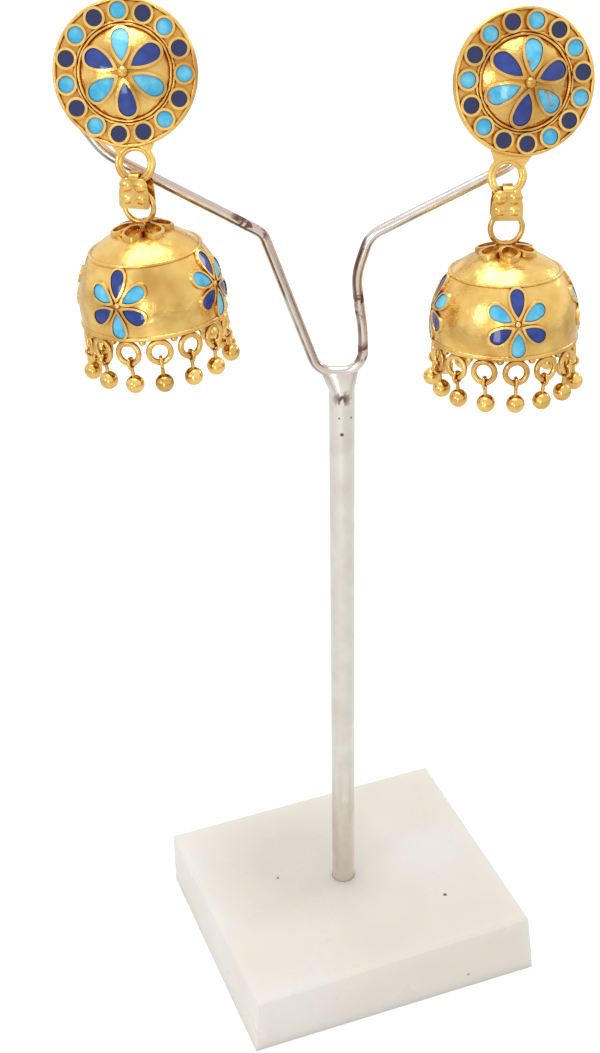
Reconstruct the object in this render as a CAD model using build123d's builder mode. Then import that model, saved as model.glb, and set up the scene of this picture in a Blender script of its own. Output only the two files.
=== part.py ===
from build123d import *
from math import asin, cos, degrees, radians, sin, sqrt
import os

# A pair of jhumka earrings in gold-plated brass and enamel, hung on a Y-shaped
# display stand: an acrylic block, a steel post and one bent wire with two eyes.
#
# Frame: millimetres, +Z up, -Y is the front, origin in the middle of the post's
# axis on the underside of the block. The fork's wire lies in the XZ plane.

# ---------------------------------------------------------------- dimensions

# stand
base_height = 11.0
base_turn = 20.7            # the block is turned about the post
base_softening = 0.5        # polished edges
base_corners = [            # the hand-cut block is slightly out of square
    # x and y at the top, x and y at the foot
    (-24.5, 21.4, -24.4, 21.9),
    (26.3, 22.1, 26.4, 22.3),
    (24.8, -21.5, 25.8, -22.3),
    (-23.8, -22.5, -24.4, -22.0),
]
post_radius = 1.9
post_foot = 3.0             # the blind hole ends that far above the underside
post_top = 103.4
socket_gap = 0.05
wire_radius = 0.75
eye_radius = 1.6            # centre line of the eye at each end of the wire
eye_wire = 0.8              # radius, flattened a little thicker in the bend
crotch = 106.3              # the wire's lowest point, soldered into the post's top
fork_bends = [              # from the left eye to the right eye
    # x, z, bend radius
    (-33.4, 148.6, 2.5),
    (-35.0, 143.4, 2.4),
    (-31.9, 138.7, 8.0),
    (-10.8, 127.1, 2.6),
    (-3.45, crotch, 3.0),
    (3.1, crotch, 3.0),
    (3.0, 112.6, 20.0),
    (2.0, 120.6, 9.0),
    (3.9, 126.5, 4.0),
    (23.7, 136.4, 2.2),
]

# stud: a plate with a rim, a ring of small cups and a dome with six petals
plate_radius = 9.4
plate_thickness = 0.8
rim_radius = 9.1
rim_wire = 0.24
cup_circle = 7.7
cup_count = 15
cup_radius = 1.4
cup_wall = 0.33
cup_height = 0.62
cup_fill = 0.46
dome_radius = 5.8
dome_height = 2.3
dome_ridges = [(6.42, 0.2), (6.0, 0.28)]
ridge_wire = 0.2
stud_petal = dict(reach=5.85, tip=0.7, width=3.1)
stud_petal_wall = 0.36
stud_petal_rise = 0.36
stud_bead = 0.75
ring_radius = 2.1           # a double ring: one wire inside the other
ring_wires = [(2.33, 0.36), (1.92, 0.34)]
ring_depth = -0.35          # the ring is soldered just behind the plate's face
ear_post_radius = 0.45
ear_post_length = 10.0
ear_back_radius = 2.3
ear_back_length = 3.0
ear_back_start = 1.9        # behind the middle of the fork's wire

# link: a band bent to a loop through the stud's ring and the bell's ring
link_seat = 0.72            # from the stud ring's wire up to the band
link_span = 2.95            # between the wires that it holds
link_foot = 0.62            # from the bell ring's wire down to the band
link_band = 0.3
link_depth = 1.9
link_width = 1.3            # of the band where it passes through the rings
link_plate = [              # half of the plate's outline, down from the top
    (0.75, 0.35), (1.1, 0.2), (1.5, -0.15), (1.85, -0.7), (2.05, -1.5),
    (2.1, -3.3), (1.9, -3.65),
]
link_bumps = [              # two cushions in each row
    # height, radius of the ball that they are cut from
    (-0.6, 1.25),
    (-2.35, 1.15),
]
link_bump_side = 0.97
link_bump_depth = 0.9       # from the plate's face back to the ball's middle

# bell, measured down from the middle of its ring
bell_ring_radius = 2.15
bell_ring_wire = 0.38
apex = -2.75
shoulder_radius, shoulder = 7.4, -5.7
flank_radius, flank = 9.25, -9.0
wall_radius, wall_foot = 9.85, -14.95
bell_wall = 0.5
shoulder_wire = 0.26
foot_wire = 0.36
foot_wire_radius = 9.75
cap_petal = dict(reach=4.3, tip=0.5, width=2.9)
cap_wall = 0.42
cap_rise = 0.6
flower_count = 4
flower_height = -10.35
upright_petal = dict(reach=4.65, tip=0.5, width=2.45)
slanted_petal = dict(reach=4.45, tip=0.5, width=2.45)
flower_wall = 0.28
flower_rise = 0.3
flower_bead = 0.52
seam_turn = 30.0            # keeps the seam of the turned faces clear of the wall's petals

# enamel: it lies in its gold cell with a fine gap all round
enamel_gap = 0.05
enamel_drop = 0.12          # below the cell's edge

# fringe: loops under the bell's foot, each with a ball on a wire eye
loop_count = 14
loop_circle = 9.5
loop_height = -17.05
loop_radius = 1.45
loop_wire = 0.4
web_bead = 0.5
ball_radius = 1.26
ball_drop = 4.4             # below the middle of its loop
drop_eye_wire = 0.23
drop_eye_gap = 0.07
shank_radius = 0.27

# how each earring hangs: the middle of the plate's face and the turns of its parts
hangs = {
    "left": dict(
        place=(-27.93, -3.11, 149.87), yaw=-1.0, tilt=16.0, roll=4.4,
        ring_drop=11.4,
        link_yaw=-16.0, link_lift=0.12, bell_lift=1.45, bell_shift=0.15,
        bell_yaw=-22.0, bell_tilt=4.3, bell_nod=-1.3,
        loop_turn=3.0,
        leans=[     # how the balls came to rest: along the rim, outwards
            (8, 0), (5, 2), (2, 0), (-2, 0), (3, 6), (-4, 2), (3, 0),
            (0, 3), (-5, -2), (4, 3), (5, 0), (-4, -3), (-3, 2), (5, 0),
        ],
    ),
    "right": dict(
        place=(23.62, -3.85, 147.93), yaw=9.0, tilt=11.7, roll=-11.2,
        ring_drop=12.0,
        link_yaw=-2.0, link_lift=0.2, bell_lift=0.1, bell_shift=0.1,
        bell_yaw=3.5, bell_tilt=1.0, bell_nod=3.0,
        loop_turn=-0.5,
        leans=[
            (1, 0), (-7, 0), (-7, -4), (-3, 5), (4, 3), (-4, 2), (3, 0),
            (-5, 2), (4, -2), (-4, 3), (-2, 8), (6, -6), (8, 0), (6, 0),
        ],
    ),
}


# -------------------------------------------------------------------- planes

def moved(plane, position, turn=(0, 0, 0)):
    """A plane placed and turned in another plane's own coordinates."""
    return Plane(plane.location * Location(position, turn))


def stud_plane(hang):
    """The plate's face: x along the face, y away from the ring, z to the front."""
    yaw, tilt = radians(hang["yaw"]), radians(hang["tilt"])
    front = (sin(yaw) * cos(tilt), -cos(yaw) * cos(tilt), sin(tilt))
    level = Plane(origin=hang["place"], x_dir=(cos(yaw), sin(yaw), 0), z_dir=front)
    return moved(level, (0, 0, 0), (0, 0, hang["roll"]))


def ring_hinge(hang):
    """The lowest point of the stud ring's wire."""
    plane = stud_plane(hang)
    middle = plane.from_local_coords(Vector(0, -hang["ring_drop"], ring_depth))
    down = Vector(0, 0, -1) + plane.z_dir * plane.z_dir.Z
    return middle + down.normalized() * ring_radius


def link_plane(hang):
    """Upright; the origin is where the stud ring's wire lies when the link hangs freely."""
    yaw = radians(hang["link_yaw"])
    origin = ring_hinge(hang) + Vector(0, 0, hang["link_lift"])
    return Plane(origin=origin, x_dir=(cos(yaw), sin(yaw), 0), z_dir=(0, 0, 1))


def bell_plane(hang):
    """The middle of the bell's ring: -y towards the first flower, z along the axis."""
    drop = link_span + bell_ring_radius - hang["bell_lift"]
    origin = link_plane(hang).origin + Vector(hang["bell_shift"], 0, -drop)
    turned_bell = moved(Plane(origin), (0, 0, 0), (0, 0, hang["bell_yaw"]))
    leaned = moved(turned_bell, (0, 0, 0), (0, -hang["bell_tilt"], 0))
    return moved(leaned, (0, 0, 0), (-hang["bell_nod"], 0, 0))


def ear_post_plane(hang):
    """On the ear post where it passes the plane of the fork."""
    plane = stud_plane(hang)
    depth = plane.origin.Y / plane.z_dir.Y
    return moved(plane, (0, 0, -depth))


def section_plane(plane):
    """For half sections: x runs out from the axis and y along it."""
    between = moved(plane, (0, 0, 0), (0, 0, seam_turn))
    return Plane(origin=plane.origin, x_dir=between.x_dir, z_dir=-between.y_dir)


def side_plane(plane, azimuth):
    """Upright through the bell's axis; z looks outwards from the axis."""
    return moved(plane, (0, 0, 0), (90, azimuth, 0))


# ------------------------------------------------------------ shared outlines

def petal(reach, tip, width, inset=0.0):
    """One teardrop along +y: a pointed foot near the origin and a round end."""
    half = width / 2 - inset
    middle = reach - width / 2
    foot = tip + 1.7 * inset
    bulge = (half ** 2 + (middle - foot) ** 2) / (2 * half)
    half_way = (middle + foot) / 2
    flank_x = half - bulge + sqrt(bulge ** 2 - (middle - half_way) ** 2)
    with BuildSketch() as outline:
        with BuildLine():
            ThreePointArc((half, middle), (0, middle + half), (-half, middle))
            ThreePointArc((-half, middle), (-flank_x, half_way), (0, foot))
            ThreePointArc((0, foot), (flank_x, half_way), (half, middle))
        make_face()
    return outline.sketch


def petals_round(shapes, inset=0.0, middle=0.0):
    """Teardrops round a point on the y axis, each turned clockwise from +y."""
    faces = [(turn, petal(inset=inset, **shape)) for turn, shape in shapes]
    with BuildSketch() as ring:
        for turn, face in faces:
            with Locations(Location((0, middle, 0), (0, 0, -turn))):
                add(face)
    return ring.sketch


def dome_section(grow):
    """Half section of the stud's dome, grown by an even layer."""
    foot_radius = dome_radius + 0.3 * grow
    foot_height = 0.1 + grow
    with BuildSketch() as section:
        with BuildLine():
            ThreePointArc((0, dome_height + grow),
                          (0.56 * dome_radius, 0.7 * dome_height + grow),
                          (foot_radius, foot_height))
            Polyline((foot_radius, foot_height), (foot_radius, -0.3), (0, -0.3),
                     (0, dome_height + grow))
        make_face()
    return section.sketch


def bell_section(grow, below=0.1):
    """Half section of the bell's outer form, grown by an even layer."""
    foot = wall_foot - below
    top = (0, apex + grow)
    edge = (shoulder_radius + 0.65 * grow, shoulder + 0.75 * grow)
    end = (wall_radius + grow, wall_foot)
    with BuildSketch() as section:
        with BuildLine():
            ThreePointArc(top, (4.1 + 0.4 * grow, apex - 0.78 + 0.92 * grow), edge)
            ThreePointArc(edge, (flank_radius + 0.93 * grow, flank + 0.3 * grow), end)
            Polyline(end, (wall_radius + grow, foot), (0, foot), top)
        make_face()
    return section.sketch


def turned(plane, section):
    """A solid of revolution about the plane's z axis."""
    with BuildPart() as body:
        with BuildSketch(section_plane(plane)):
            add(section)
        revolve(axis=Axis(plane.origin, plane.z_dir))
    return body.part


# ----------------------------------------------------------------- the pieces

def base_block():
    level = Plane.XY.rotated((0, 0, base_turn))
    with BuildPart() as block:
        with BuildSketch(level):
            Polygon(*[corner[2:] for corner in base_corners], align=None)
        with BuildSketch(level.offset(base_height)):
            Polygon(*[corner[:2] for corner in base_corners], align=None)
        loft(ruled=True)
        chamfer(block.edges().group_by(Axis.Z)[-1], base_softening)
        with BuildSketch(Plane.XY.offset(base_height)):
            Circle(post_radius + socket_gap)
        extrude(amount=post_foot - socket_gap - base_height, mode=Mode.SUBTRACT)
    return block


def stand_post():
    eyes = [ear_post_plane(hang).origin for hang in hangs.values()]
    ends = []
    for eye, bend in zip(eyes, (fork_bends[0], fork_bends[-1])):
        towards = Vector(bend[0] - eye.X, bend[1] - eye.Z).normalized() * eye_radius
        ends.append((eye.X + towards.X, eye.Z + towards.Y))
    points = [ends[0]] + [(x, z) for x, z, _ in fork_bends] + [ends[1]]
    with BuildPart() as post:
        with BuildLine(Plane.XZ) as route:
            FilletPolyline(*points, radius=[bend for _, _, bend in fork_bends])
        with BuildSketch(Plane(origin=route.line @ 0, z_dir=route.line % 0)):
            Circle(wire_radius)
        sweep(path=route.line)
        for eye in eyes:
            with BuildSketch(Plane(origin=eye, x_dir=(0, 1, 0), z_dir=(0, 0, 1))):
                with Locations((0, eye_radius)):
                    Circle(eye_wire)
            revolve(axis=Axis(eye, (0, 1, 0)))
        with BuildSketch(Plane.XY.offset(post_top)):
            Circle(post_radius)
        with BuildSketch(Plane.XY.offset(crotch)):
            with Locations((-0.35, 0)):
                Ellipse(2.75, wire_radius)
        loft()
        with BuildSketch(Plane.XY.offset(post_foot)):
            Circle(post_radius)
        extrude(amount=post_top - post_foot)
        chamfer(post.edges().group_by(Axis.Z)[0], 0.3)
    return post


def stud(hang):
    plane = stud_plane(hang)
    shapes = [(60 * step, stud_petal) for step in range(6)]
    outer = petals_round(shapes)
    inner = petals_round(shapes, stud_petal_wall)
    with BuildPart() as rims:
        with BuildSketch(plane):
            add(outer)
            add(inner, mode=Mode.SUBTRACT)
        extrude(amount=2 * dome_height)
        add(turned(plane, dome_section(stud_petal_rise)), mode=Mode.INTERSECT)
    with BuildPart() as body:
        with BuildSketch(plane.offset(-plate_thickness)):
            Circle(plate_radius)
        extrude(amount=plate_thickness)
        chamfer(body.edges(), 0.15)
        add(turned(plane, dome_section(0)))
        add(rims.part)
        with BuildSketch(plane):
            with PolarLocations(cup_circle, cup_count, start_angle=90):
                Circle(cup_radius)
                Circle(cup_radius - cup_wall, mode=Mode.SUBTRACT)
        extrude(amount=cup_height)
        with BuildSketch(plane.offset(ring_depth - 0.35)):
            Polygon((-2.9, -8.7), (2.9, -8.7), (1.9, -10.6), (-1.9, -10.6), align=None)
            with Locations((0, -hang["ring_drop"])):
                Circle(ring_radius, mode=Mode.SUBTRACT)
        extrude(amount=0.7)
        with BuildSketch(plane.offset(-plate_thickness)):
            Circle(ear_post_radius)
        extrude(amount=plate_thickness - ear_post_length)
        chamfer(body.edges().sort_by(Axis(plane.origin, plane.z_dir))[0], 0.15)
        with Locations(plane.offset(0.2)):
            Torus(rim_radius, rim_wire)
        for radius, height in dome_ridges:
            with Locations(plane.offset(height - ridge_wire / 2)):
                Torus(radius, ridge_wire)
        for radius, wire in ring_wires:
            with Locations(moved(plane, (0, -hang["ring_drop"], ring_depth))):
                Torus(radius, wire)
        with Locations(plane.offset(dome_height + 0.25)):
            Sphere(stud_bead)
    return body


def stud_enamel(hang, colour):
    plane = stud_plane(hang)
    first = 0 if colour == "sky" else 1
    petal_shapes = [(60 * step, stud_petal) for step in range(first, 6, 2)]
    outline = petals_round(petal_shapes, stud_petal_wall + enamel_gap)
    cups = [step for step in range(cup_count) if ((step % 2) != (step > 7)) == bool(first)]
    top = stud_petal_rise - enamel_drop
    with BuildPart() as fills:
        with BuildSketch(plane):
            add(outline)
        extrude(amount=2 * dome_height)
        add(turned(plane, dome_section(top)), mode=Mode.INTERSECT)
        add(turned(plane, dome_section(enamel_gap)), mode=Mode.SUBTRACT)
        with BuildSketch(plane.offset(enamel_gap)):
            for step in cups:
                around = radians(90 - 24 * step)
                with Locations((cup_circle * cos(around), cup_circle * sin(around))):
                    Circle(cup_radius - cup_wall - enamel_gap)
        extrude(amount=cup_fill - enamel_gap)
    return fills


def ear_back(hang):
    plane = ear_post_plane(hang)
    with BuildPart() as back:
        with BuildSketch(plane.offset(-ear_back_start - ear_back_length)):
            Circle(ear_back_radius)
            Circle(ear_post_radius + socket_gap, mode=Mode.SUBTRACT)
        extrude(amount=ear_back_length)
        fillet(back.edges().filter_by(lambda e: e.length > 10), 0.5)
    return back


def link(hang):
    plane = link_plane(hang)
    side = Plane(origin=plane.origin, x_dir=plane.y_dir, z_dir=plane.x_dir)
    height = link_seat + link_span + link_foot
    middle = link_seat - height / 2
    outline = link_plate + [(-x, z) for x, z in reversed(link_plate)]
    with BuildPart() as band:
        with BuildSketch(side):
            with Locations((0, middle)):
                SlotOverall(height + 2 * link_band, link_depth + 2 * link_band, rotation=90)
                SlotOverall(height, link_depth, rotation=90, mode=Mode.SUBTRACT)
        extrude(amount=link_width / 2, both=True)
        for across in (plane.x_dir, -plane.x_dir):
            face = Plane(origin=plane.origin, x_dir=across, z_dir=across.cross(plane.z_dir))
            with BuildSketch(face.offset(link_depth / 2)):
                Polygon(*outline, align=None)
            extrude(amount=link_band)
            for z, radius in link_bumps:
                cut = degrees(asin((link_bump_depth - link_band / 2) / radius))
                for x in (-link_bump_side, link_bump_side):
                    depth = link_depth / 2 + link_band - link_bump_depth
                    with Locations(moved(face, (x, z, depth))):
                        Sphere(radius, arc_size1=cut, align=None)
    return band


def wall_flower(petals, inset):
    """The outlines of one wall flower, seen from outside."""
    shapes = []
    for step in petals:
        shapes.append((60 * step, slanted_petal if step % 3 else upright_petal))
    return petals_round(shapes, inset, flower_height)


def wall_prisms(plane, outline, removed=None):
    """One outline driven outwards through the wall at every flower."""
    with BuildPart() as prisms:
        for turn in range(flower_count):
            with BuildSketch(side_plane(plane, 360 / flower_count * turn).offset(4)):
                add(outline)
                if removed:
                    add(removed, mode=Mode.SUBTRACT)
            extrude(amount=7)
    return prisms.part


def bell(hang):
    plane = bell_plane(hang)
    every = range(6)
    flowers = wall_prisms(plane, wall_flower(every, 0), wall_flower(every, flower_wall))
    with BuildPart() as rims:
        add(turned(plane, bell_section(flower_rise)))
        add(flowers, mode=Mode.INTERSECT)
    shapes = [(60 * step, cap_petal) for step in every]
    outer = petals_round(shapes)
    inner = petals_round(shapes, cap_wall)
    with BuildPart() as cap:
        with BuildSketch(moved(plane, (0, 0, shoulder), (0, 0, 180))):
            add(outer)
            add(inner, mode=Mode.SUBTRACT)
        extrude(amount=-shoulder)
        add(turned(plane, bell_section(cap_rise)), mode=Mode.INTERSECT)
    with BuildPart() as body:
        add(turned(plane, bell_section(0)))
        add(rims.part)
        add(cap.part)
        with Locations(plane.offset(shoulder - 0.05)):
            Torus(shoulder_radius + 0.1, shoulder_wire)
        add(turned(plane, bell_section(-bell_wall, 1)), mode=Mode.SUBTRACT)
        with Locations(plane.offset(wall_foot)):
            Torus(foot_wire_radius, foot_wire)
        for turn in range(flower_count):
            side = side_plane(plane, 360 / flower_count * turn)
            with Locations(moved(side, (0, flower_height, 9.45))):
                Sphere(flower_bead)
        for loop in range(loop_count):
            around = hang["loop_turn"] + 360 / loop_count * loop
            with Locations(moved(side_plane(plane, around), (0, loop_height, loop_circle))):
                Torus(loop_radius, loop_wire)
            between = side_plane(plane, around + 180 / loop_count)
            with Locations(moved(between, (0, wall_foot - 0.5, loop_circle))):
                Sphere(web_bead)
        with Locations(moved(plane, (0, 0, 0), (90, 0, 0))):
            Torus(bell_ring_radius, bell_ring_wire)
        with Locations(plane.offset(apex + 0.1)):
            Cone(1.0, 0.45, 0.9)
    return body


def bell_enamel(hang, colour):
    plane = bell_plane(hang)
    first = 0 if colour == "navy" else 1
    outline = wall_flower(range(first, 6, 2), flower_wall + enamel_gap)
    prisms = wall_prisms(plane, outline)
    top = flower_rise - enamel_drop
    with BuildPart() as fills:
        add(turned(plane, bell_section(top)))
        add(prisms, mode=Mode.INTERSECT)
        add(turned(plane, bell_section(enamel_gap)), mode=Mode.SUBTRACT)
    return fills


def drop(hang, number):
    """A ball hanging from its loop; x along the loop's wire, z up."""
    around = hang["loop_turn"] + 360 / loop_count * number
    loop = moved(side_plane(bell_plane(hang), around), (0, loop_height, loop_circle))
    along, outward = hang["leans"][number]
    plumb = Plane(origin=loop.origin, x_dir=loop.z_dir.cross(Vector(0, 0, 1)),
                  z_dir=loop.z_dir)
    wire = moved(plumb, (0, 0, 0), (0, 0, along))
    eye = moved(wire, (0, loop_radius, 0), (outward, 0, 0))
    length = ball_drop - loop_radius
    eye_size = loop_wire + drop_eye_gap + drop_eye_wire
    with BuildPart() as ball:
        with Locations(moved(eye, (0, 0, 0), (0, 90, 0))):
            Torus(eye_size, drop_eye_wire)
        with Locations(moved(eye, (0, eye_size, 0), (-90, 0, 0))):
            Cylinder(shank_radius, length - eye_size, align=(Align.CENTER, Align.CENTER, Align.MIN))
        with Locations(moved(eye, (0, length, 0))):
            Sphere(ball_radius)
    return ball


# --------------------------------------------------------------------- export

os.makedirs("parts", exist_ok=True)

pieces = {"base_block": base_block(), "stand_post": stand_post()}
for side, hang in hangs.items():
    pieces[f"stud_{side}"] = stud(hang)
    pieces[f"ear_back_{side}"] = ear_back(hang)
    pieces[f"link_{side}"] = link(hang)
    pieces[f"bell_{side}"] = bell(hang)
    for colour in ("sky", "navy"):
        pieces[f"stud_enamel_{colour}_{side}"] = stud_enamel(hang, colour)
        pieces[f"bell_enamel_{colour}_{side}"] = bell_enamel(hang, colour)
    for number in range(loop_count):
        pieces[f"drop_{side}_{number + 1:02d}"] = drop(hang, number)

for name, piece in pieces.items():
    piece.part.label = name
    export_step(piece.part, f"parts/{name}.step")
    size = piece.part.bounding_box().size
    print(f"{name}: {len(piece.part.solids())} solid(s), {piece.part.volume:.1f} mm3, "
          f"{size.X:.1f} x {size.Y:.1f} x {size.Z:.1f} mm")
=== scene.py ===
# %% [markdown]
# # A pair of jhumka earrings on a display stand
#
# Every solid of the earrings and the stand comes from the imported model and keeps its
# place and its mesh. This lesson gives each of them its finish: gold plating over cast
# and soldered brass, vitreous enamel in two blues, a bent steel wire and a milky acrylic
# block. It ends with a plain studio: a pale floor, soft lamps and a camera.

# %% Load the model
import bpy
from math import cos, sin
from mathutils import Matrix, Vector


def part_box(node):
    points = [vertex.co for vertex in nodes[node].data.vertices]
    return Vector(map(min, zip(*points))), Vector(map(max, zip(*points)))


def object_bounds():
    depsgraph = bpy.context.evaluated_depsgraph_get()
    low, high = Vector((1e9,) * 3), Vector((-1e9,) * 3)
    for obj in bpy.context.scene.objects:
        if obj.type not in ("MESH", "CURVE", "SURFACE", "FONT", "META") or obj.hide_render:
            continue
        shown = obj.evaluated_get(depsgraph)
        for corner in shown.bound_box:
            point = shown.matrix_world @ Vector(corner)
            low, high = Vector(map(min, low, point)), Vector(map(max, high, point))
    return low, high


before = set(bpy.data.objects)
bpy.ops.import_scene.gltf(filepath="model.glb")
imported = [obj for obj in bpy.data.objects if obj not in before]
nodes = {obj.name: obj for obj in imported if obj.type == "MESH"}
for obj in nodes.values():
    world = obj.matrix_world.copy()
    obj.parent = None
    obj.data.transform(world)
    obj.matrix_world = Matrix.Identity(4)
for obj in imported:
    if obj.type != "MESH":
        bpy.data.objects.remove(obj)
cad_box = [[float(value) for value in corner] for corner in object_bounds()]
print(len(nodes), "solids, from", cad_box[0], "to", cad_box[1])

# %% [markdown]
# ## Units and small helpers
#
# Blender works in metres here, and jewellery is thought of in millimetres, so one value
# turns one into the other. Colours are written as sRGB hex, the way a paint chart gives
# them, while shaders calculate in linear light: one function does that step.

# %% Units and colours
MM = 0.001


def linear(colour):
    """An sRGB hex colour as linear red, green, blue and alpha."""
    parts = [int(colour[place:place + 2], 16) / 255 for place in (1, 3, 5)]
    bent = [part / 12.92 if part <= 0.04045 else ((part + 0.055) / 1.055) ** 2.4
            for part in parts]
    return (*bent, 1.0)


def per_mm(size):
    """The scale of a pattern whose features are that many millimetres apart."""
    return 1 / (size * MM)


print("plate yellow in linear light:", [round(part, 3) for part in linear("#F5CF7E")])

# %% [markdown]
# ## One function for all shader nodes
#
# A procedural material is a small graph. Each node needs settings, fixed input values and
# links from other nodes, so one helper takes all three. An input that is given an output
# socket is linked, and any other value is set on the socket itself.

# %% Node helpers


def add_node(tree, kind, inputs=None, **settings):
    """A node with its settings, its input values and its links."""
    made = tree.nodes.new(kind)
    for name, value in settings.items():
        setattr(made, name, value)
    for name, value in (inputs or {}).items():
        if isinstance(value, bpy.types.NodeSocket):
            tree.links.new(value, made.inputs[name])
        else:
            made.inputs[name].default_value = value
    return made


def new_finish(name, **fixed):
    """A material with one Principled shader; fixed values go on its own sockets."""
    material = bpy.data.materials.new(name)
    material.use_nodes = True
    shader = material.node_tree.nodes["Principled BSDF"]
    for socket, value in fixed.items():
        shader.inputs[socket.replace("_", " ")].default_value = value
    return material, material.node_tree, shader


def blend(tree, factor, first, second):
    """A colour between two, each a hex value or a socket."""
    colours = {"A": first, "B": second}
    mix = add_node(tree, "ShaderNodeMix", data_type="RGBA")
    sockets = {"A": mix.inputs[6], "B": mix.inputs[7]}
    for key, colour in colours.items():
        if isinstance(colour, str):
            sockets[key].default_value = linear(colour)
        else:
            tree.links.new(colour, sockets[key])
    tree.links.new(factor, mix.inputs[0])
    return mix.outputs[2]


def remap(tree, value, low, high, to_low=0.0, to_high=1.0):
    """A value moved from one range to another and held inside it."""
    return add_node(tree, "ShaderNodeMapRange", {
        "Value": value, "From Min": low, "From Max": high,
        "To Min": to_low, "To Max": to_high}).outputs[0]


def product(tree, first, second):
    """Two values between 0 and 1 multiplied, so that both must hold."""
    return add_node(tree, "ShaderNodeMath", {0: first, 1: second},
                    operation="MULTIPLY").outputs[0]


def noise(tree, size, detail=2.0, distortion=0.0):
    """Soft random spots that many millimetres apart, fixed to the piece."""
    place = add_node(tree, "ShaderNodeTexCoord").outputs["Object"]
    return add_node(tree, "ShaderNodeTexNoise", {
        "Vector": place, "Scale": per_mm(size), "Detail": detail,
        "Distortion": distortion}).outputs[0]


def near(tree, point, radius, softness):
    """1 within a radius of a point of the piece, in millimetres, fading to 0."""
    place = add_node(tree, "ShaderNodeTexCoord").outputs["Object"]
    gap = add_node(tree, "ShaderNodeVectorMath", operation="DISTANCE")
    tree.links.new(place, gap.inputs[0])
    gap.inputs[1].default_value = [value * MM for value in point]
    return remap(tree, gap.outputs["Value"], (radius + softness) * MM, radius * MM)


def dents(tree, shader, layers):
    """Relief from several noises: feature size and depth in millimetres."""
    normal = None
    for size, depth, detail in layers:
        inputs = {"Height": noise(tree, size, detail), "Distance": depth * MM}
        if normal:
            inputs["Normal"] = normal
        normal = add_node(tree, "ShaderNodeBump", inputs).outputs[0]
    tree.links.new(normal, shader.inputs["Normal"])


def shaded_corners(tree, reach):
    """How open a point is, for painted shade: 0 deep in a corner and 1 on open ground;
    reach in millimetres.
    """
    return add_node(tree, "ShaderNodeAmbientOcclusion", {"Distance": reach * MM},
                    samples=8).outputs["AO"]


print("helpers ready")

# %% [markdown]
# ## Gold plating
#
# The real earrings are brass castings and drawn wire, soldered together and plated with a
# bright yellow gold. A metal's colour is the colour of its reflection, and its IOR stays
# at the default. Light that bounces between polished walls turns deeper and more orange,
# as on the floors between the small cups. Here that shade is painted into the colour,
# which falls to orange where corners close in.
# Wide faint clouds of a browner tone come from years of skin and polish.
# One function makes the plating for each way of working the metal under it.

# %% Gold plating


def gold_plating(name, relief, smooth, rough, reach=0.9):
    """Gold with clouds of tone, worn patches of gloss, painted shade in its corners and a
    relief of its own.
    """
    material, tree, shader = new_finish(name, Metallic=1.0)
    patches = remap(tree, noise(tree, 2.6, 3.0), 0.35, 0.65)
    open_gold = blend(tree, patches, "#F5CF7E", "#E9BD68")
    toned = remap(tree, noise(tree, 7.0, 2.0, 0.4), 0.48, 0.74)
    open_gold = blend(tree, toned, open_gold, "#C2934C")
    # painted shade: the deeper orange gold laid into corners and between cups
    corner_shade_gold = blend(tree, patches, "#AC6A1E", "#C58432")
    unshaded = remap(tree, shaded_corners(tree, reach), 0.3, 0.9)
    tree.links.new(blend(tree, unshaded, corner_shade_gold, open_gold), shader.inputs["Base Color"])
    wiped = remap(tree, noise(tree, 1.1, 4.0), 0.35, 0.7, smooth, rough)
    tree.links.new(wiped, shader.inputs["Roughness"])
    dents(tree, shader, relief)
    return material


# a beaten dome: soft planishing marks about 1.6 mm apart, and finer file marks
beaten_gold = gold_plating(
    "gold_plating_on_beaten_brass",
    [(1.6, 0.12, 1.0), (0.30, 0.016, 2.0)], smooth=0.16, rough=0.34)
# cast and soldered wire work: a softer, slightly pitted skin
cast_gold = gold_plating(
    "gold_plating_on_cast_brass",
    [(0.9, 0.06, 2.0), (0.25, 0.012, 2.0)], smooth=0.15, rough=0.30, reach=0.9)
# the small balls are tumbled bright
tumbled_gold = gold_plating(
    "gold_plating_on_tumbled_balls",
    [(1.2, 0.03, 1.0)], smooth=0.10, rough=0.22, reach=1.6)
print("three gold finishes")

# %% [markdown]
# ## Vitreous enamel
#
# Enamel is coloured glass melted into gold cells. It sets with a glossy, faintly pitted
# face a little below the cell's edge. Its colour swims a little, and a painted shade
# darkens it along the edge, where the gold wall shades it. Glass has an IOR of about
# 1.5, so it reflects only a little and keeps its own colour.

# %% Enamel


SKY_BLUE = ("#78D8F7", "#3DB9E9", "#1672A2")   # light and middle tones, then the painted shade at the cell's edge
NAVY = ("#2B489F", "#1B3386", "#0A123E")


def vitreous_enamel(name, light, mid, edge_shade):
    """Glossy glass of two swimming tones, with painted shade along the edge of its cell."""
    material, tree, shader = new_finish(name, Roughness=0.07, IOR=1.52)
    swim = remap(tree, noise(tree, 1.8, 2.0), 0.35, 0.65)
    body = blend(tree, swim, light, mid)
    # painted shade: the enamel turns to its edge tone where the gold wall closes in
    unshaded = remap(tree, shaded_corners(tree, 0.6), 0.35, 1.0)
    colour = blend(tree, unshaded, edge_shade, body)
    tree.links.new(colour, shader.inputs["Base Color"])
    dents(tree, shader, [(0.9, 0.012, 1.0), (0.2, 0.003, 1.0)])
    return material, tree, shader, colour


sky_enamel, *_ = vitreous_enamel("sky_blue_enamel", *SKY_BLUE)
navy_enamel, *_ = vitreous_enamel("navy_enamel", *NAVY)
print("two enamels")

# %% [markdown]
# ## Enamel with its own history
#
# Two things are not the same everywhere. The navy of the small round cups has fired
# greyer, almost aubergine, than that of the big petals, so the colour changes with the
# distance from the stud's middle. And some sky petals of the right stud have burnt,
# brownish-gold spots, where the glass has pulled back and shows the metal through.

# %% Enamel of the studs


def middle_of(node):
    """The middle of a solid's box, in millimetres."""
    low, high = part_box(node)
    return [(a + b) / 2 / MM for a, b in zip(low, high)]


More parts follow.
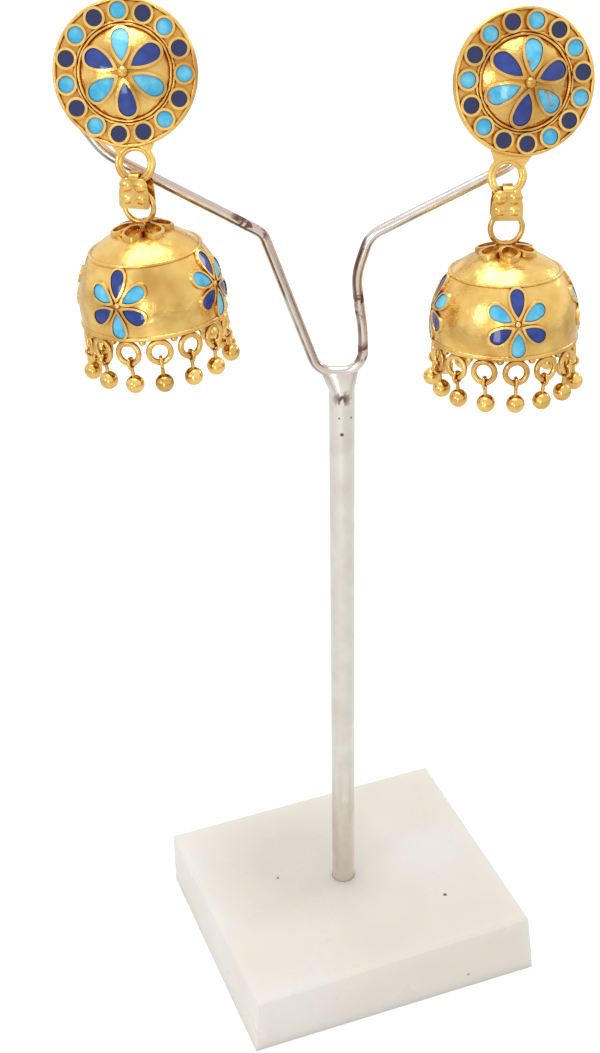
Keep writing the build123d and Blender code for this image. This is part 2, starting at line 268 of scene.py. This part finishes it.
def navy_for_stud(side):
    """Navy that turns greyer outside the petals, on the ring of small cups."""
    material, tree, shader, colour = vitreous_enamel(f"navy_enamel_stud_{side}", *NAVY)
    in_petals = near(tree, middle_of(f"stud_enamel_navy_{side}"), 5.9, 0.5)
    greyed = blend(tree, remap(tree, noise(tree, 2.4), 0.3, 0.7), "#1C2C68", "#1D2554")
    tree.links.new(blend(tree, in_petals, greyed, colour), shader.inputs["Base Color"])
    return material


def burnt_sky(side):
    """Sky blue with golden-brown spots on the petals."""
    material, tree, shader, colour = vitreous_enamel(
        f"sky_blue_enamel_stud_{side}", *SKY_BLUE)
    middle = middle_of(f"stud_enamel_sky_{side}")
    spots = remap(tree, noise(tree, 1.7, 3.0, 0.4), 0.53, 0.62)
    in_petals = near(tree, middle, 5.6, 0.8)
    where = product(tree, spots, in_petals)
    burnt = blend(tree, remap(tree, noise(tree, 0.5), 0.35, 0.65), "#C2A565", "#9A7A42")
    tree.links.new(blend(tree, where, colour, burnt),
                   shader.inputs["Base Color"])
    return material


stud_navy = {side: navy_for_stud(side) for side in ("left", "right")}
stud_sky = {"left": sky_enamel, "right": burnt_sky("right")}
print("enamel for both studs")

# %% [markdown]
# ## Steel of the stand
#
# The post and the fork are drawn steel, polished and never cleaned since. A painted brown
# reflection runs as a stripe along the lower left flank of the wire, a painted pinkish
# reflection lies on its other flank, and flakes of tarnish sit by the left bend and on the
# right leg above the joint. The painted stripe and cast depend on which way the surface
# faces, so they are read from the normal, which belongs to the piece. The thick post below
# the joint gets neither painted reflection.

# %% Steel


WIRE_START = (104, 108)          # heights over which the post gives way to the wire
REFLECTION_SIDE = (-0.75, 0.0, -0.66)
TARNISH = [                      # place and radius
    ((-12.4, 0, 128.6), 2.4),
    ((2.7, 0, 116.6), 1.5),
    ((3.2, 0, 109.4), 1.0),
    ((0.0, -1.4, 102.6), 0.6),
]
POST_SPECKS = [
    ((-0.05, -1.9, 97.0), 0.22),
    ((-0.48, -1.9, 99.6), 0.1),
    ((1.34, -1.4, 99.5), 0.12),
]


def tarnished_steel():
    """Drawn steel with a painted brown reflection stripe, a painted pink reflection on one
    flank, tarnish flakes and specks.
    """
    material, tree, shader = new_finish("polished_steel_wire", Metallic=1.0)
    piece = add_node(tree, "ShaderNodeTexCoord")
    height = add_node(tree, "ShaderNodeSeparateXYZ", {"Vector": piece.outputs["Object"]})
    on_wire = remap(tree, height.outputs["Z"], *(level * MM for level in WIRE_START))
    flank = add_node(tree, "ShaderNodeVectorMath", {0: piece.outputs["Normal"]},
                     operation="DOT_PRODUCT")
    flank.inputs[1].default_value = REFLECTION_SIDE
    flank = flank.outputs["Value"]
    steel = blend(tree, remap(tree, noise(tree, 3.0, 3.0), 0.3, 0.7), "#E2DED4", "#D6D0C5")
    # painted reflection: a pinkish cast on the flank that faces away from the stripe side,
    # on the wire only
    painted_pink_reflection = product(tree, on_wire, remap(tree, flank, 0.0, -0.5))
    steel = blend(tree, painted_pink_reflection, steel, "#CDB9AE")
    # painted reflection: a brown stripe along the flank that faces the stripe side, on the
    # wire only
    painted_reflection_stripe = product(tree, remap(tree, flank, 0.1, 0.28), remap(tree, flank, 0.72, 0.5))
    painted_reflection_stripe = product(tree, painted_reflection_stripe, remap(tree, noise(tree, 5.0, 3.0), 0.3, 0.6, 0.4, 1.0))
    steel = blend(tree, product(tree, on_wire, painted_reflection_stripe), steel, "#7B5E53")
    flakes = remap(tree, noise(tree, 1.3, 5.0, 0.5), 0.46, 0.52)
    for point, radius in TARNISH:
        patch = product(tree, flakes, near(tree, point, radius, 1.0))
        steel = blend(tree, patch, steel, "#75564A")
    for point, radius in POST_SPECKS:
        steel = blend(tree, near(tree, point, radius, 0.12), steel, "#6A5F58")
    tree.links.new(steel, shader.inputs["Base Color"])
    wiped = remap(tree, noise(tree, 1.4, 3.0), 0.3, 0.7, 0.12, 0.26)
    tree.links.new(wiped, shader.inputs["Roughness"])
    dents(tree, shader, [(4.0, 0.10, 1.0), (0.3, 0.006, 2.0)])
    return material


steel = tarnished_steel()
print("steel:", steel.name)

# %% [markdown]
# ## Milky acrylic
#
# The block is cast acrylic, sawn by hand and polished. It is milky: light enters, scatters
# a few millimetres down and comes out again, which subsurface scattering does. It has a
# faint warm cloudiness, a painted grey shade behind the post and a few dark specks of dirt.

# %% Acrylic


BLOCK_SPECKS = [                 # place and radius
    ((17.3, -5.6, 11.0), 0.24),
    ((20.4, -15.5, 2.6), 0.36),
    ((-11.4, -0.7, 11.0), 0.14),
]


def milky_acrylic():
    """Cloudy acrylic that scatters light below its polished face."""
    material, tree, shader = new_finish(
        "milky_acrylic", IOR=1.49, Subsurface_Weight=0.35, Subsurface_Scale=0.004,
        Subsurface_Radius=(1.0, 0.95, 0.9))
    cloud = remap(tree, noise(tree, 26.0, 3.0), 0.35, 0.65)
    body = blend(tree, cloud, "#EEEAE2", "#EAE3D8")
    # painted shade: a greyer cloud in the block around the foot of the post
    painted_post_shade = near(tree, (-9.0, 4.0, 9.0), 6.0, 13.0)
    body = blend(tree, painted_post_shade, body, "#DDD7CB")
    for point, radius in BLOCK_SPECKS:
        body = blend(tree, near(tree, point, radius, 0.15), body, "#5E4C46")
    tree.links.new(body, shader.inputs["Base Color"])
    wiped = remap(tree, noise(tree, 12.0, 2.0), 0.3, 0.7, 0.24, 0.34)
    tree.links.new(wiped, shader.inputs["Roughness"])
    dents(tree, shader, [(9.0, 0.12, 1.0)])
    return material


acrylic = milky_acrylic()
print("acrylic:", acrylic.name)

# %% [markdown]
# ## Each solid gets its finish
#
# The names of the solids say what they are, so the finish follows from the name. Every
# solid gets exactly one.

# %% Assign the finishes


def finish_for(name):
    """The material for a solid of that name."""
    side = name.split("_")[-1]
    if name == "base_block":
        return acrylic
    if name == "stand_post":
        return steel
    if name.startswith("stud_enamel_sky"):
        return stud_sky[side]
    if name.startswith("stud_enamel_navy"):
        return stud_navy[side]
    if "enamel_sky" in name:
        return sky_enamel
    if "enamel_navy" in name:
        return navy_enamel
    if name.startswith("drop_"):
        return tumbled_gold
    if name.startswith("bell_"):
        return beaten_gold
    return cast_gold


for name, solid in nodes.items():
    solid.data.materials.clear()
    solid.data.materials.append(finish_for(name))
print(len(nodes), "solids finished with", len(bpy.data.materials), "materials")

# %% [markdown]
# ## Floor and backdrop
#
# A plain white floor keeps the soft shadow under the block. It glows a little for camera
# rays alone, so that paper far from the lamps stays white. Beyond the floor, the world
# shows pure white to camera rays, mirror rays and rays through glass, and gives a calmer
# light to everything else.

# %% Studio floor and world


def white_paper():
    """Matt paper that glows for camera rays, and more so away from the object."""
    material, tree, shader = new_finish("white_paper", Roughness=0.7)
    grain = remap(tree, noise(tree, 2.0, 2.0), 0.3, 0.7)
    tree.links.new(blend(tree, grain, "#FBFBFB", "#F7F7F7"), shader.inputs["Base Color"])
    shader.inputs["Emission Color"].default_value = (1, 1, 1, 1)
    seen = add_node(tree, "ShaderNodeLightPath").outputs["Is Camera Ray"]
    glow = remap(tree, near(tree, (0, 0, 0), 90, 160), 0.0, 1.0, 0.42, 0.30)
    tree.links.new(product(tree, seen, glow), shader.inputs["Emission Strength"])
    return material


bpy.ops.mesh.primitive_plane_add(size=6)
floor = bpy.context.object
floor.name = "studio_floor"
floor.data.materials.append(white_paper())

world = bpy.data.worlds.new("studio")
bpy.context.scene.world = world
world.use_nodes = True
sky = world.node_tree
rays = add_node(sky, "ShaderNodeLightPath").outputs
seen = rays["Is Camera Ray"]
for kind in ("Is Transmission Ray", "Is Glossy Ray"):
    seen = add_node(sky, "ShaderNodeMath", {0: seen, 1: rays[kind]},
                    operation="MAXIMUM").outputs[0]
strength = remap(sky, seen, 0.0, 1.0, 0.62, 1.0)
background = sky.nodes["Background"]
background.inputs["Color"].default_value = (1, 1, 1, 1)
sky.links.new(strength, background.inputs["Strength"])
print("floor and world")

# %% [markdown]
# ## Soft lamps
#
# One large softbox above lays the broad highlight on the caps of the bells, a smaller one
# on the left puts a spark on every curved wall and ball, a low upright strip in front runs
# down the walls of the bells, and one behind on the right draws a thin edge. Each lamp is
# aimed at the middle of the object.

# %% Lamps
low, high = [Vector(corner) for corner in cad_box]
middle = (low + high) / 2


def softbox(name, place, width, height, watts):
    """An area lamp, placed from the middle of the object and aimed at it."""
    lamp = bpy.data.lights.new(name, "AREA")
    lamp.shape = "RECTANGLE"
    lamp.size, lamp.size_y = width, height
    lamp.energy = watts
    holder = bpy.data.objects.new(name, lamp)
    bpy.context.scene.collection.objects.link(holder)
    holder.location = middle + Vector(place)
    holder.rotation_euler = (-Vector(place)).to_track_quat("-Z", "Y").to_euler()
    return holder


softbox("top_softbox", (-0.04, 0.02, 0.50), 0.34, 0.34, 1.25)
softbox("left_softbox", (-0.42, -0.42, 0.24), 0.14, 0.14, 0.30)
softbox("strip_softbox", (-0.06, -0.28, 0.04), 0.045, 0.11, 0.075)
softbox("edge_lamp", (0.45, 0.30, 0.25), 0.12, 0.12, 0.22)
print("four lamps")

# %% [markdown]
# ## Camera
#
# The camera stands a little above the studs, 20 cm in front of them, and looks down at
# the block, so near and far parts differ in size as they do for an eye that close.

# %% Camera
FOCAL_LENGTH = 52.487863         # millimetres, with the sensor's height below
PITCH = 0.5089                   # radians below level
ROLL = -0.0177
SENSOR = 36.0
SHIFT = -0.00133
PLACE = (-0.006227, -0.20469, 0.19490)

lens = bpy.data.cameras.new("camera")
lens.sensor_fit = "VERTICAL"
lens.sensor_height = SENSOR
lens.lens = FOCAL_LENGTH
lens.shift_x = SHIFT
lens.clip_start = 0.001
camera = bpy.data.objects.new("camera", lens)
bpy.context.scene.collection.objects.link(camera)

ahead = Vector((0, cos(PITCH), -sin(PITCH)))
level = Vector((1, 0, 0))
right = level * cos(ROLL) + level.cross(ahead) * sin(ROLL)
above = right.cross(ahead)
turn = Matrix((right, above, -ahead)).transposed().to_4x4()
camera.matrix_world = Matrix.Translation(PLACE) @ turn
bpy.context.scene.camera = camera
bpy.context.scene.view_settings.view_transform = "Standard"
print("camera at", [round(value, 3) for value in camera.matrix_world.translation])
